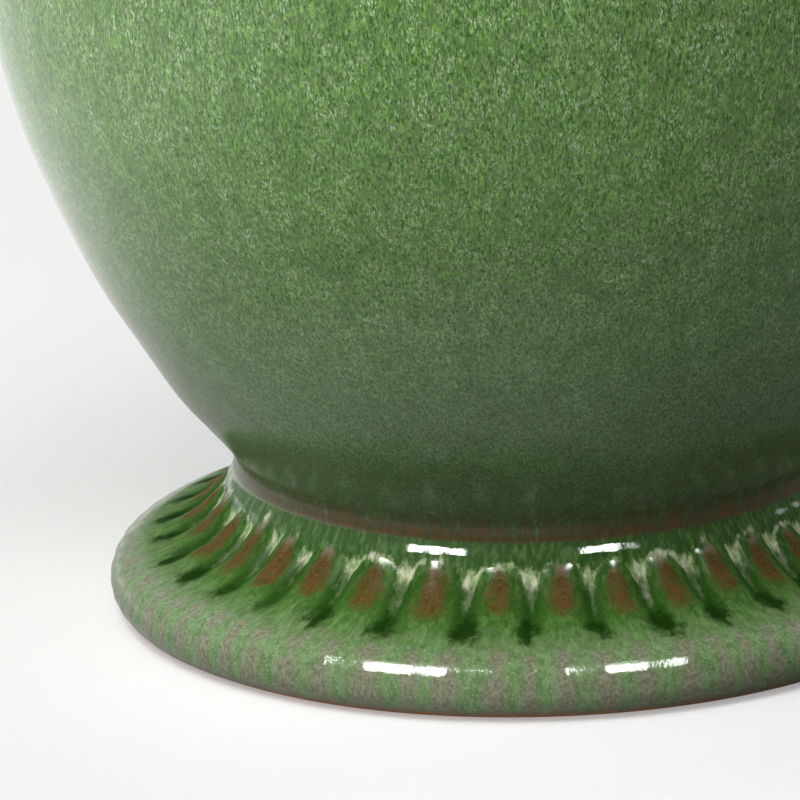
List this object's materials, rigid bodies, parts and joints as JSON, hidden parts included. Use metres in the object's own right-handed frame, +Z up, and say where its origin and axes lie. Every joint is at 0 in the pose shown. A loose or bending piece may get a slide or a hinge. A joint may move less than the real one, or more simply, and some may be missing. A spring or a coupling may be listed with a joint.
{
  "type": "tv lamp",
  "caption": "Small glazed ceramic table lamp for the top of a television: round jar on a carved foot, brass neck, keyed socket, harp and tapered fabric shade.",
  "frame": {"origin": "centre of the foot's resting ring, on the table", "axes": "+Z up along the lamp's axis; -Y is the front, where the switch key is; the cord leaves the foot towards +Y"},
  "size_m": [0.3011, 0.3012, 0.4507],
  "materials": {
    "glaze": "glossy mottled green glaze with fine pale crystals, breaking to brown on the carved crests and the collar, bare reddish clay at the very bottom",
    "felt": "dark green felt, glued into the foot",
    "black_rubber": "moulded rubber",
    "plated_steel": "zinc-plated steel",
    "brass_cap": "spun brass, lacquered and slightly aged",
    "brass_harp": "brass-plated steel wire and strip",
    "brass_socket": "drawn brass shell, satin",
    "fibre": "vulcanised fibre sleeve",
    "phenolic": "dark brown moulded phenolic",
    "contact_metal": "bright pressed contact brass",
    "lead_insulation": "insulated lead, one dark and one light",
    "key_plastic": "dark moulded plastic key",
    "bulb_metal": "rolled screw cap with solder tip",
    "black_glass": "black insulating glass",
    "bulb_white": "frosted soft-white glass",
    "clear_glass": "clear pressed glass mount",
    "tungsten": "coiled wire",
    "shade_wire": "brass-plated shade wire",
    "shade_linen": "natural linen laminated on a stiff backing",
    "shade_binding": "folded linen edge binding",
    "finial_brass": "turned brass",
    "cord_vinyl": "brown vinyl two-conductor flex",
    "blade_brass": "bright stamped brass blades"
  },
  "bodies": {
    "base": {"ceramic_body": "glaze", "felt_disc": "felt", "cord_bushing": "black_rubber", "threaded_rod": "plated_steel", "bottom_nut": "plated_steel", "lock_washer": "plated_steel", "bottom_washer": "plated_steel", "rubber_washer": "black_rubber", "vase_cap": "brass_cap", "top_locknut": "plated_steel", "brass_neck": "brass_cap", "harp_saddle": "brass_harp", "socket_cap": "brass_socket", "cap_setscrew": "plated_steel", "socket_shell": "brass_socket", "shell_liner": "fibre", "socket_interior": "phenolic", "screw_shell": "contact_metal", "center_contact": "contact_metal", "terminal_screws": "contact_metal", "lead_wires": "lead_insulation", "power_cord": "cord_vinyl", "plug_body": "cord_vinyl", "plug_blades": "blade_brass"},
    "switch": {"switch_stem": "contact_metal", "switch_key": "key_plastic", "switch_cam": "contact_metal"},
    "bulb_tip": {"bulb_contact": "bulb_metal"},
    "bulb": {"bulb_cap": "bulb_metal", "bulb_insulator": "black_glass", "bulb_glass": "bulb_white", "bulb_mount": "clear_glass", "bulb_filament": "tungsten"},
    "harp": {"harp_wire": "brass_harp", "harp_crown": "brass_harp", "finial_stud": "plated_steel"},
    "sleeve_left": {"harp_sleeve_left": "brass_harp"},
    "sleeve_right": {"harp_sleeve_right": "brass_harp"},
    "shade_hub": {"finial_washer": "finial_brass"},
    "shade": {"shade_spider": "shade_wire", "shade_bottom_ring": "shade_wire", "shade_cover": "shade_linen", "shade_top_trim": "shade_binding", "shade_bottom_trim": "shade_binding"},
    "finial_core": {"finial_insert": "finial_brass"},
    "finial": {"finial_knob": "finial_brass"}
  },
  "joints": [
    {"name": "switch_turn", "type": "hinge", "parent": "base", "child": "switch", "pos_m": [0, -0.02, 0.2916], "axis": [0, -1, 0], "continuous": true},
    {"name": "bulb_rise", "type": "slide", "parent": "base", "child": "bulb_tip", "axis": [0, 0, 1], "range_m": [0, 0.0145]},
    {"name": "bulb_unscrew", "type": "hinge", "parent": "bulb_tip", "child": "bulb", "pos_m": [0, 0, 0.3026], "axis": [0, 0, 1], "range_deg": [0, 1440]},
    {"name": "harp_lift", "type": "slide", "parent": "base", "child": "harp", "axis": [0, 0, 1], "range_m": [0, 0.03]},
    {"name": "sleeve_left_lift", "type": "slide", "parent": "harp", "child": "sleeve_left", "axis": [0, 0, 1], "range_m": [0, 0.014]},
    {"name": "sleeve_right_lift", "type": "slide", "parent": "harp", "child": "sleeve_right", "axis": [0, 0, 1], "range_m": [0, 0.014]},
    {"name": "shade_lift", "type": "slide", "parent": "harp", "child": "shade_hub", "axis": [0, 0, 1], "range_m": [0, 0.2]},
    {"name": "shade_swivel", "type": "hinge", "parent": "shade_hub", "child": "shade", "pos_m": [0, 0, 0.4218], "axis": [0, 0, 1], "continuous": true},
    {"name": "finial_rise", "type": "slide", "parent": "shade_hub", "child": "finial_core", "axis": [0, 0, 1], "range_m": [0, 0.00799]},
    {"name": "finial_unscrew", "type": "hinge", "parent": "finial_core", "child": "finial", "pos_m": [0, 0, 0.43], "axis": [0, 0, 1], "range_deg": [0, 3060]}
  ],
  "couplings": [
    {"joint": "bulb_unscrew", "follows": "bulb_rise", "rad_per_m": 1731.6},
    {"joint": "finial_unscrew", "follows": "finial_rise", "rad_per_m": 6679.3}
  ]
}
